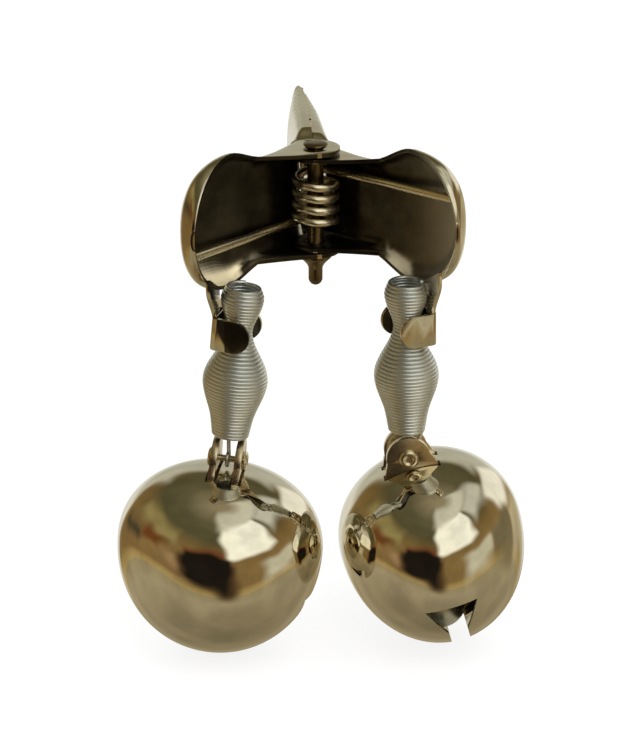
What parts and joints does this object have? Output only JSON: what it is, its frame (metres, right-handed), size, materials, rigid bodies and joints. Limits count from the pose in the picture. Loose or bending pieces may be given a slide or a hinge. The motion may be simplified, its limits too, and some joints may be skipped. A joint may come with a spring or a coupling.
{
  "type": "twin bell rod clip",
  "caption": "Sprung toothed clip that grips a rod, with a slotted pellet bell hung from each finger pad on a coil spring stem, so a shaken rod rings the bells",
  "frame": {"origin": "the middle of the bite between the toothed jaws, where the axis of a gripped rod passes", "axes": "+Z along the hinge pin and the gripped rod, up from the bells; +Y towards the jaw tips; -X is the left half"},
  "size_m": [0.0506, 0.0483, 0.0635],
  "materials": {
    "clip_nickel": "nickel plate, lightly worn",
    "bell_nickel": "polished warm nickel plate",
    "spring_steel": "bright drawn wire",
    "pin_bronze": "tarnished golden brown"
  },
  "bodies": {
    "clip_left": {"left_clip_half": "clip_nickel", "hinge_pin": "pin_bronze", "torsion_spring": "spring_steel"},
    "clip_right": {"right_clip_half": "clip_nickel"},
    "left_stem": {"left_stem_spring": "spring_steel"},
    "right_stem": {"right_stem_spring": "spring_steel"},
    "left_bell": {"left_bell_shell": "bell_nickel", "left_bell_bracket": "clip_nickel", "left_bell_rivet": "clip_nickel"},
    "right_bell": {"right_bell_shell": "bell_nickel", "right_bell_bracket": "clip_nickel", "right_bell_rivet": "clip_nickel"},
    "left_ball": {"left_pellet": "spring_steel"},
    "right_ball": {"right_pellet": "spring_steel"}
  },
  "joints": [
    {"name": "clip_squeeze", "type": "hinge", "parent": "clip_left", "child": "clip_right", "pos_m": [0, -0.0155, 0], "axis": [0, 0, 1], "range_deg": [-30, 0], "stiffness_Nm_per_rad": 0.08, "springref_deg": 28.65, "deforming": ["torsion_spring"]},
    {"name": "left_stem_sway", "type": "hinge", "parent": "clip_left", "child": "left_stem", "pos_m": [-0.0101, -0.026, -0.0129], "axis": [0, 1, 0], "range_deg": [-1, 25], "stiffness_Nm_per_rad": 0.02, "springref_deg": 0.74, "deforming": ["left_stem_spring"]},
    {"name": "right_stem_sway", "type": "hinge", "parent": "clip_right", "child": "right_stem", "pos_m": [0.0101, -0.026, -0.0129], "axis": [0, -1, 0], "range_deg": [0, 25], "deforming": ["right_stem_spring"]},
    {"name": "left_bell_swing", "type": "hinge", "parent": "left_stem", "child": "left_bell", "pos_m": [-0.01172, -0.026, -0.0297], "axis": [0.9736, -0.2079, -0.0938], "range_deg": [-40, 40]},
    {"name": "right_bell_swing", "type": "hinge", "parent": "right_stem", "child": "right_bell", "pos_m": [0.01039, -0.026, -0.02977], "axis": [0, -1, 0], "range_deg": [-8, 40]},
    {"name": "left_pellet_roll", "type": "hinge", "parent": "left_bell", "child": "left_ball", "pos_m": [-0.01327, -0.026, -0.04582], "axis": [0.9736, -0.2079, -0.0938], "range_deg": [-60, 60]},
    {"name": "right_pellet_roll", "type": "hinge", "parent": "right_bell", "child": "right_ball", "pos_m": [0.01472, -0.026, -0.04538], "axis": [0, -1, 0], "range_deg": [-45, 60]}
  ],
  "couplings": [
    {"joint": "right_stem_sway", "follows": "clip_squeeze", "ratio": -0.6}
  ]
}
